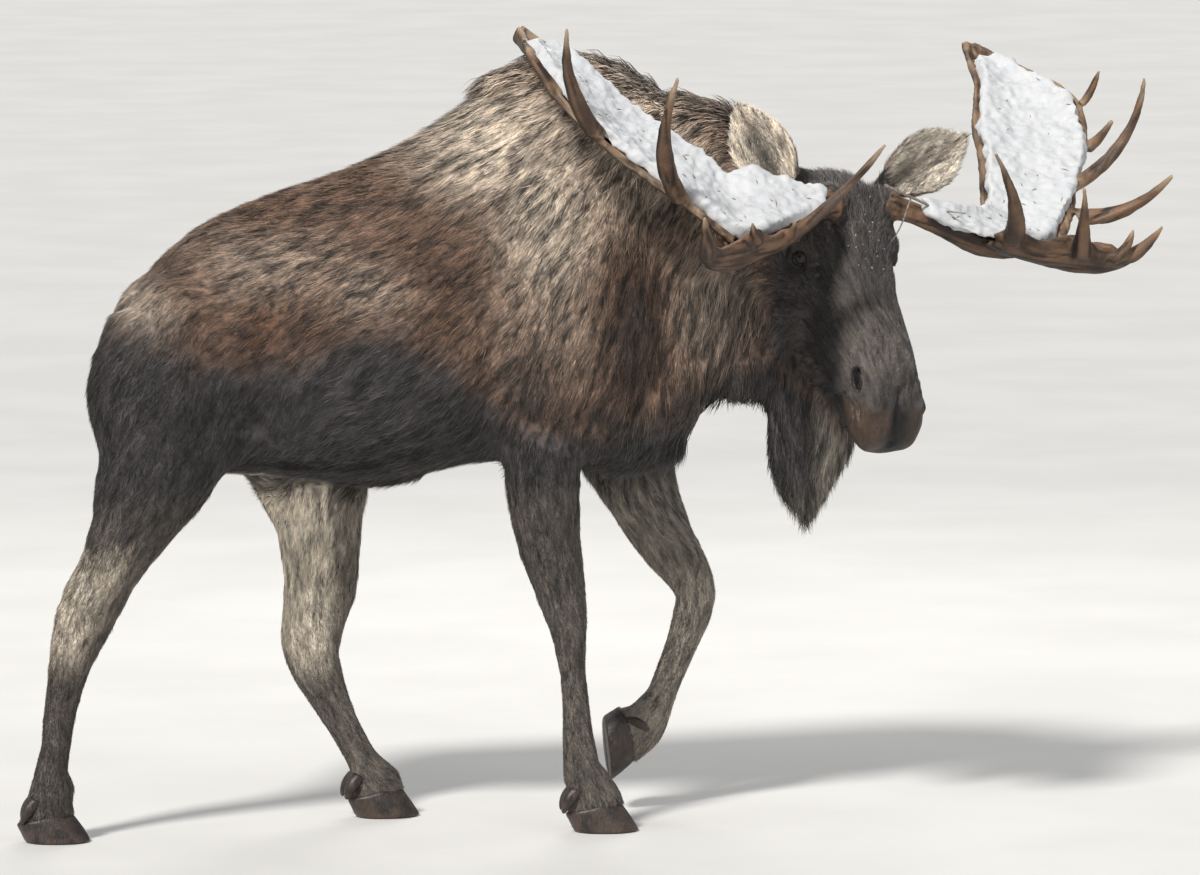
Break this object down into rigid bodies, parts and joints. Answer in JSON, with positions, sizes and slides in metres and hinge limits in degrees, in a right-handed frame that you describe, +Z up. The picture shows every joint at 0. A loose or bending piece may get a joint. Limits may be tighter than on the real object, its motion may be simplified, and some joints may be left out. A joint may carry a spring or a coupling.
{
  "type": "moose",
  "caption": "Life-size still model of a bull moose walking with its head low and turned, broad palmed antlers bearing snow, one forefoot lifted; stands by itself on its hooves.",
  "frame": {"origin": "middle of the box's footprint, at floor level", "axes": "+X ahead of the animal along its trunk, +Y to its left, +Z up"},
  "size_m": [2.888, 1.436, 2.0314],
  "materials": {
    "brown_fur": "coarse hair, grey-brown over a darker belly",
    "dark_fur": "short dark brown hair",
    "leg_fur": "short hair, dark in front and pale grey-buff behind",
    "ear_fur": "buff hair, pale inside",
    "antler": "satin antler bone, brown with pale worn tips",
    "hoof_horn": "dark horn",
    "eye": "wet dark eye",
    "snow": "grainy snow with bits of twig"
  },
  "bodies": {
    "root": {"beam_L": "antler", "beam_R": "antler", "bell": "dark_fur", "brow_palm_L": "antler", "brow_palm_R": "antler", "dewclaw_fore_L_L": "hoof_horn", "dewclaw_fore_L_R": "hoof_horn", "dewclaw_fore_R_L": "hoof_horn", "dewclaw_fore_R_R": "hoof_horn", "dewclaw_hind_L_L": "hoof_horn", "dewclaw_hind_L_R": "hoof_horn", "dewclaw_hind_R_L": "hoof_horn", "dewclaw_hind_R_R": "hoof_horn", "ear_L": "ear_fur", "ear_R": "ear_fur", "eye_L": "eye", "eye_R": "eye", "head": "dark_fur", "hoof_fore_L_L": "hoof_horn", "hoof_fore_L_R": "hoof_horn", "hoof_fore_R_L": "hoof_horn", "hoof_fore_R_R": "hoof_horn", "hoof_hind_L_L": "hoof_horn", "hoof_hind_L_R": "hoof_horn", "hoof_hind_R_L": "hoof_horn", "hoof_hind_R_R": "hoof_horn", "leg_fore_L": "leg_fur", "leg_fore_R": "leg_fur", "leg_hind_L": "leg_fur", "leg_hind_R": "leg_fur", "neck": "brown_fur", "palm_L": "antler", "palm_R": "antler", "snow_L": "snow", "snow_R": "snow", "tail": "brown_fur", "trunk": "brown_fur"}
  },
  "joints": []
}
